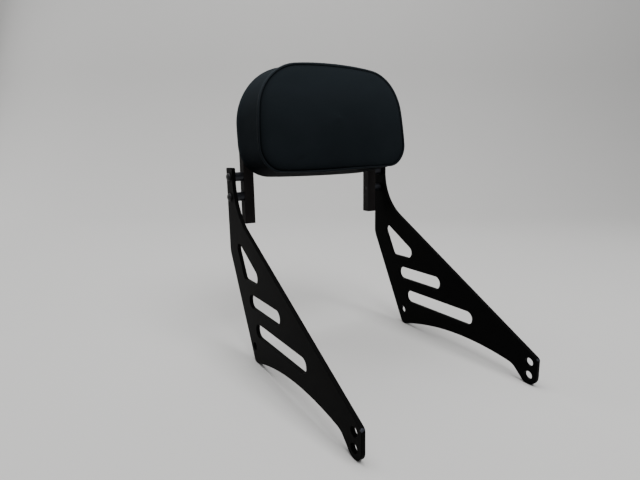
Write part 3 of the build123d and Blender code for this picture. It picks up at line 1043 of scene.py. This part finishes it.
@dataclass
class BackPanel:
    """Cloth panel that closes the back of the pad, with a turned-in hem.

    Attributes:
        hem: Width of the doubled edge.
        thickness: Thickness of the single cloth inside the hem.
    """

    shape: PadShape
    hem: float = 8.0 * MM
    thickness: float = 0.55 * MM

    def build(self) -> Object:
        """Makes the panel between the board's fold and the legs.

        Returns:
            The panel.
        """
        shape = self.shape
        plane = shape.back_plane
        half = shape.panel_half
        rim = shape.panel_rim()
        reach = np.linalg.norm(rim - plane.centre, axis=1, keepdims=True)
        outward = (rim - plane.centre) / reach
        mesh = ClosedMesh()
        single = half - self.thickness
        # Inset in millimetres and level of the rings round the hem's edge, from the board's side.
        edge = [(0.0, half), (0.3, 0.7 * half), (0.5, 0.0), (0.3, -0.8 * half), (1.1, -half)]
        rings = [rim - outward * inset * MM + plane.front * level for inset, level in edge]
        rings.append(rim - outward * self.hem - plane.front * half)
        slope = 0.6 * MM
        rings.append(rim - outward * (self.hem + slope) + plane.front * single)
        for share in (0.8, 0.6, 0.4, 0.2):
            rings.append(plane.centre + outward * (reach - self.hem) * share + plane.front * single)
        numbers = [mesh.add(ring) for ring in rings]
        mesh.cap(numbers[0])
        for low, high in zip(numbers, numbers[1:]):
            mesh.bridge(low, high)
        mesh.cap(numbers[-1])
        made = mesh.make("back_panel")
        flat = np.stack([(rim - plane.centre) @ plane.right, (rim - plane.centre) @ plane.rise], 1)
        return made


@dataclass
class Backrest:
    """The pad and the finishes of every CAD node."""

    finishes: dict[Slot, Finish]
    materials: dict[Slot, bpy.types.Material] = field(default_factory=dict)

    def build(self) -> None:
        """Makes all materials and soft pieces and dresses the CAD nodes."""
        self.materials = {slot: finish.build(slot.value) for slot, finish in self.finishes.items()}
        shape = PadShape()
        cushion = Cushion(shape).build()
        cushion.data.materials.clear()
        for _ in Panel:
            cushion.data.materials.append(self.materials[Slot.COVER])
        piping = Piping(shape).build()
        piping.data.materials.append(self.materials[Slot.PIPING])
        panel = BackPanel(shape).build()
        panel.data.materials.append(self.materials[Slot.BACK])
        for piece, slot, nodes in (
            (cushion, Slot.COVER, ("cover_face", "cover_boxing", "pad_foam")),
            (piping, Slot.PIPING, ("cover_piping",)),
            (panel, Slot.BACK, ("cover_back",)),
        ):
            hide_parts(*nodes)
            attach(piece, "root")
        self._dress_nodes()

    def _dress_nodes(self) -> None:
        """Gives each CAD node the finish of its slot in the record."""
        slots = {part["node"]: part["material_slot"] for part in frame["record"]["subparts"]}
        for name, node in frame["nodes"].items():
            node.data.materials.clear()
            node.data.materials.append(self.materials[Slot(slots[name])])


@dataclass(frozen=True)
class Lamp:
    """Square area light: its place, the point that it faces, its size and its watts."""

    name: str
    place: Triple
    aim: Triple
    size: float
    power: float


@dataclass
class Set:
    """Floor, backdrop, light and camera.

    Attributes:
        world_colour: Colour of the surround.
        world_light: Strength with which the surround lights the object.
        world_seen: Strength with which it is seen.
        floor: Finish of the floor and backdrop.
        lamps: The area lights.
    """

    world_colour: Colour = (0.93, 0.96, 1.0)
    world_light: float = 0.14
    world_seen: float = 0.5
    floor: Studio = Studio((0.56, 0.555, 0.545))
    lamps: tuple[Lamp, ...] = (
        Lamp("key", (0.1, -1.2, 2.3), (0.0, 0.0, 0.15), size=1.5, power=58.0),
        Lamp("top", (-0.2, 0.5, 2.3), (0.0, 0.0, 0.2), size=1.5, power=44.0),
        Lamp("window", (-0.95, 1.95, 0.85), (0.0, 0.0, 0.15), size=0.7, power=9.0),
    )

    def build(self) -> None:
        """Makes the set."""
        self._add_floor()
        self._add_world()
        self._add_lights()
        self._add_camera()

    def _add_floor(self) -> None:
        """A floor that curves up into a backdrop, square to the camera."""
        front, rear, side = -3.0, 1.1, 4.0
        radius, steps, wall_top = 0.6, 12, 3.2
        turned = math.radians(-31.0)
        profile = [(front, 0.0), (rear, 0.0)]
        for step in range(1, steps + 1):
            turn = math.pi / 2 * step / steps
            profile.append((rear + radius * math.sin(turn), radius - radius * math.cos(turn)))
        profile.append((rear + radius, wall_top))
        cosine, sine = math.cos(turned), math.sin(turned)
        points = []
        for across in (-side, side):
            for along, up in profile:
                points.append((across * cosine - along * sine, across * sine + along * cosine, up))
        count = len(profile)
        faces = [(i, i + 1, count + i + 1, count + i) for i in range(count - 1)]
        floor = make_object("floor", points, faces)
        floor.data.materials.append(self.floor.build("floor"))

    def _add_world(self) -> None:
        """Dim even light, seen as a pale surround by the camera and by what is glossy or clear."""
        world = bpy.data.worlds.new("studio")
        graph = Graph(world)
        seen = graph.node("ShaderNodeLightPath", output="Is Camera Ray")
        rays = seen.socket.node.outputs
        for ray in ("Is Glossy Ray", "Is Transmission Ray"):
            seen = graph.maths("MAXIMUM", seen, Value(graph, rays[ray]))
        limits = {"Value": seen, "To Min": self.world_light, "To Max": self.world_seen}
        level = graph.node("ShaderNodeMapRange", limits, output="Result")
        light = {"Color": graph.colour(self.world_colour), "Strength": level}
        graph.node("ShaderNodeOutputWorld", {"Surface": graph.node("ShaderNodeBackground", light)})
        bpy.context.scene.world = world

    def _add_lights(self) -> None:
        """The area lights, each turned to the point that it faces."""
        for lamp in self.lamps:
            data = bpy.data.lights.new(lamp.name, "AREA")
            data.size = lamp.size
            data.energy = lamp.power
            light = bpy.data.objects.new(lamp.name, data)
            bpy.context.scene.collection.objects.link(light)
            light.location = lamp.place
            light.rotation_mode = "QUATERNION"
            light.rotation_quaternion = (Vector(lamp.aim) - Vector(lamp.place)).to_track_quat("-Z", "Y")

    def _add_camera(self) -> None:
        """Camera at the place and angle of the photograph."""
        data = bpy.data.cameras.new("camera")
        data.sensor_width = 36.0
        data.lens = 25.85
        camera = bpy.data.objects.new("camera", data)
        bpy.context.scene.collection.objects.link(camera)
        place = (-0.341774, -0.438883, 0.2822)
        right = Vector((0.854029, -0.520224, -0.00176))
        up = Vector((0.113069, 0.182315, 0.976717))
        turned = Matrix((right, up, right.cross(up))).transposed().to_4x4()
        camera.matrix_world = Matrix.Translation(place) @ turned
        bpy.context.scene.camera = camera


def main() -> None:
    """Builds the scene."""
    logging.basicConfig(level=logging.INFO)
    nose_corner = (-0.1552, 0.0345)
    finishes: dict[Slot, Finish] = {
        Slot.PLATE: PowderCoat(knock=nose_corner),
        Slot.LEG: PowderCoat(colour=(0.0150, 0.0135, 0.0135)),
        Slot.SCREW: Steel((0.012, 0.012, 0.013), roughness=0.46, metallic=0.6),
        Slot.SPACER: Steel((0.018, 0.019, 0.024), roughness=0.38, metallic=0.7),
        Slot.PAD_SCREW: Steel((0.45, 0.45, 0.43), roughness=0.34),
        Slot.TEE_NUT: Steel((0.5, 0.5, 0.48), roughness=0.4),
        Slot.BOARD: Raw((0.52, 0.36, 0.20), (0.38, 0.24, 0.12), stretch=(6.0, 60.0, 90.0)),
        Slot.FOAM: Raw((0.70, 0.64, 0.42), (0.6, 0.54, 0.34), scale=500.0, roughness=0.95),
        Slot.COVER: Leatherette(),
        # The piping's top is painted paler than the cover's, as a painted highlight.
        Slot.PIPING: Leatherette(
            (0.0068, 0.0084, 0.0098), 0.5, grain=0.35, grain_scale=900.0, specular=0.025, painted_top_light=2.99
        ),
        Slot.BACK: Lining(),
    }
    Backrest(finishes).build()
    Set().build()


if __name__ == "__main__":
    main()
